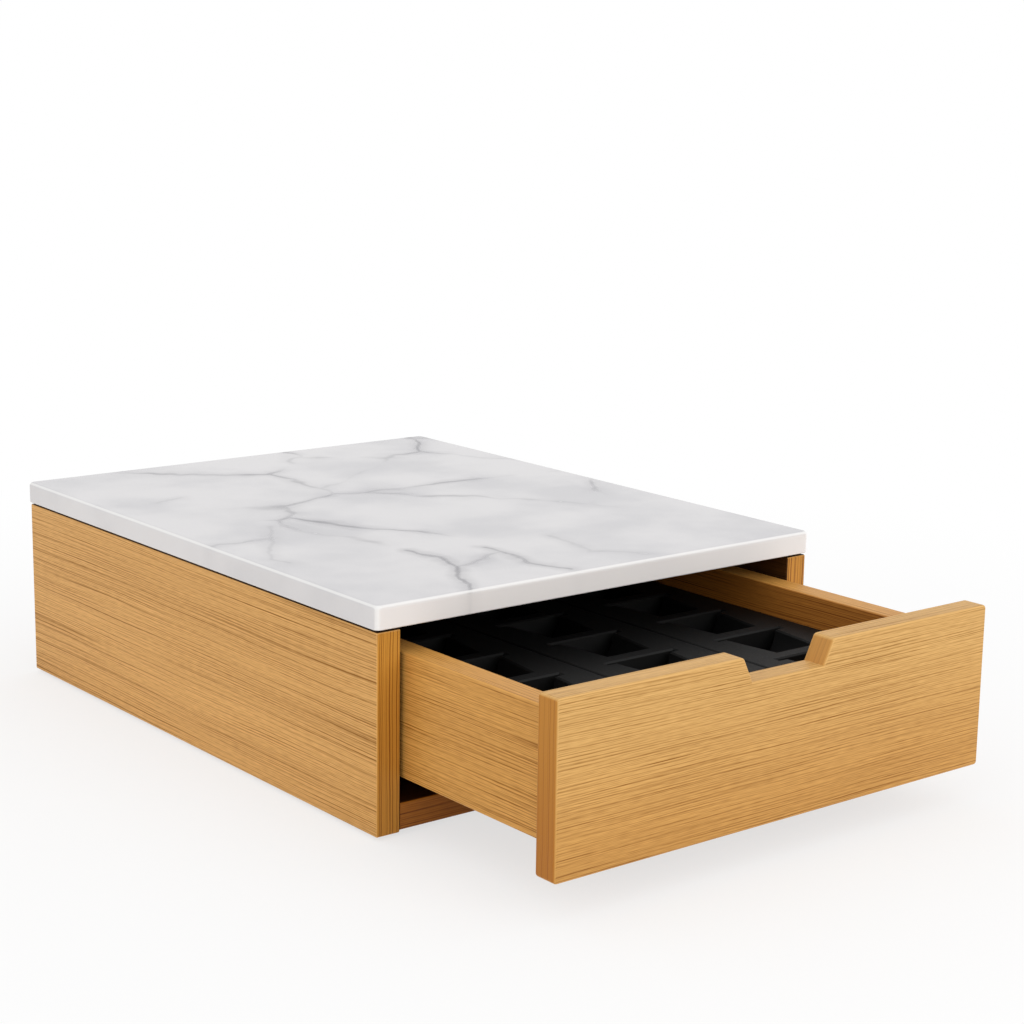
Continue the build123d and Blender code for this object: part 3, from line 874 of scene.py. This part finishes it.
def zinc(name):
    plate = Finish(name, {"Metallic": 1.0})
    haze = plate.speckle(haze_size, shift=3.0, detail=3.0)
    scratch = plate.speckle(scratch_size, shift=7.0)
    return plate.cover(
        Base_Color=plate.mix(haze.step(0.3, 0.7), colour(206, 206, 204), colour(176, 177, 180)),
        Roughness=0.26 + haze * 0.18 + scratch * 0.08,
        Normal=plate.bump(scratch, distance=0.01 * mm, strength=0.3),
    )


screw_low, screw_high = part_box("stop_bar_screws")
screw_sizes = {
    "Length": screw_high.z - screw_low.z,
    "Head Width": screw_high.y - screw_low.y,
    "Head Height": 1.8 * mm,
    "Thread Width": 2.95 * mm,
    "Core Width": 2.0 * mm,
    "Pitch": 1.35 * mm,
    "Point": 3.2 * mm,
    "Driver Length": 3.6 * mm,
    "Driver Width": 0.8 * mm,
    "Driver Depth": 1.0 * mm,
    "Sides": 24,
    "Rings": 84,
}
screws = Maker("countersunk_screw", screw_sizes, zinc("zinc"))


def screw_radius(depth, angle):
    head_height, pitch = screws.given["Head Height"], screws.given["Pitch"]
    core = screws.given["Core Width"] / 2
    climb = depth / pitch + angle / (2 * math.pi)
    ridge = (1 - abs(climb.sums("FRACT", climb) * 2 - 1) * ridge_slope).larger(0.0)
    threaded = depth.step(head_height, head_height + pitch)
    thread = ridge * threaded * (screws.given["Thread Width"] / 2 - core)
    to_end = (screws.given["Length"] - depth) / screws.given["Point"]
    shank = (core + thread) * (to_end.smaller(1 - blunt_share) + blunt_share)
    cone = (1 - depth / head_height).larger(0.0)
    return shank + cone * (screws.given["Head Width"] / 2 - core)


def driver_bar(length, width):
    height = screws.given["Driver Depth"] * 2
    size = screws.add("ShaderNodeCombineXYZ", {}, {0: length, 1: width, 2: height})
    return screws.add("GeometryNodeMeshCube", {}, {"Size": size})


driver_length, driver_width = screws.given["Driver Length"], screws.given["Driver Width"]
bars = screws.add("GeometryNodeMeshBoolean", {"operation": "UNION", "solver": "EXACT"})
cut = screws.add("GeometryNodeMeshBoolean", {"operation": "DIFFERENCE", "solver": "EXACT"})
for bar in (driver_bar(driver_length, driver_width), driver_bar(driver_width, driver_length)):
    screws.feed(bars.socket.node, {"Mesh 2": bar})
screws.feed(cut.socket.node, {"Mesh 1": screws.turned(screw_radius), "Mesh 2": bars})
screws.stand(cut)

screw_nodes = {
    "cabinet": [
        "left_runner_screws",
        "right_runner_screws",
        "left_kicker_screws",
        "right_kicker_screws",
        "stop_bar_screws",
    ],
    "drawer": ["stop_block_screws"],
}
for body, names in screw_nodes.items():
    piece = screws.grow(f"{body}_screws", stands_in(names))
    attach(piece, body)
    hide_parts(*names)

# %% [markdown]
# Floor and backdrop
#
# The cabinet stands on white. A floor lit to white would need so much light that the bamboo washes out,
# so the floor and the sky simply show white to the eye, also in a reflection, while the light that
# they throw on the object stays at a plain level. Close to the cabinet the floor keeps part of its own
# shading, which leaves the soft shadow.

# %% Floor and backdrop
white = (1.0, 1.0, 1.0, 1.0)
pale_grey = (0.9, 0.9, 0.9, 1.0)
floor_reach = 4.0  # metres, as are the next two
shade_reach, white_from = 0.22, 0.65
near_white = 0.68  # how white the floor shows close to the cabinet
corner_ways = ((-1, -1), (1, -1), (1, 1), (-1, 1))


def seen_directly(tree):
    """1 on the rays that show a surface to the eye, straight or in a gloss, and 0 on the rest."""
    path = tree.add("ShaderNodeLightPath").socket.node
    rays = ("Is Camera Ray", "Is Glossy Ray", "Is Transmission Ray")
    return reduce(Wire.larger, [Wire(tree, path.outputs[ray]) for ray in rays])


floor_mesh = bpy.data.meshes.new("floor")
floor_corners = [(x * floor_reach, y * floor_reach, 0.0) for x, y in corner_ways]
floor_mesh.from_pydata(floor_corners, [], [(0, 1, 2, 3)])
floor = bpy.data.objects.new("floor", floor_mesh)
scene.collection.objects.link(floor)

paper = Finish("floor", {"Base Color": pale_grey, "Roughness": 0.9, "Specular IOR Level": 0.0})
away = paper.vectors("DISTANCE", paper.place, (middle.x, middle.y, 0.0), out="Value")
glow = paper.add("ShaderNodeEmission", {}, {"Color": white, "Strength": 1.0})
white_share = seen_directly(paper) * away.step(shade_reach, white_from).between(near_white, 1.0)
own_shade = Wire(paper, paper.shader.outputs[0])
shown = paper.add("ShaderNodeMixShader", {}, {0: white_share, 1: own_shade, 2: glow})
paper.feed(paper.node_tree.nodes["Material Output"], {"Surface": shown})
floor_mesh.materials.append(paper.material)
print("the floor is plain white from", white_from, "m around the cabinet")

# %% [markdown]
# Light
#
# Light from all around, like a white tent, shows every face without hard shadows, and the white floor
# sends some of it back up. One softbox in front of the drawer makes the front a little brighter than
# the sides, so that the shape reads. The levels are set so that a colour shows about as it is written.

# %% Light
tent = bpy.data.worlds.new("tent")
tent.use_nodes = True
scene.world = tent
sky = Tree(tent.node_tree)
tent_light = sky.add("ShaderNodeBackground", {}, {"Color": white, "Strength": 0.97})
tent_seen = sky.add("ShaderNodeBackground", {}, {"Color": white, "Strength": 1.0})
sky_shown = sky.add("ShaderNodeMixShader", {}, {0: seen_directly(sky), 1: tent_light, 2: tent_seen})
sky.feed(tent.node_tree.nodes["World Output"], {"Surface": sky_shown})

softbox_data = bpy.data.lights.new("softbox", "AREA")
softbox_data.size = 1.2
softbox_data.energy = 11.0
softbox = bpy.data.objects.new("softbox", softbox_data)
softbox.location = (0.5, -2.2, 0.9)
softbox.rotation_euler = (middle - softbox.location).to_track_quat("-Z", "Y").to_euler()
scene.collection.objects.link(softbox)
scene.view_settings.view_transform = "Standard"
print("softbox stands", round((softbox.location - middle).length, 2), "m away")
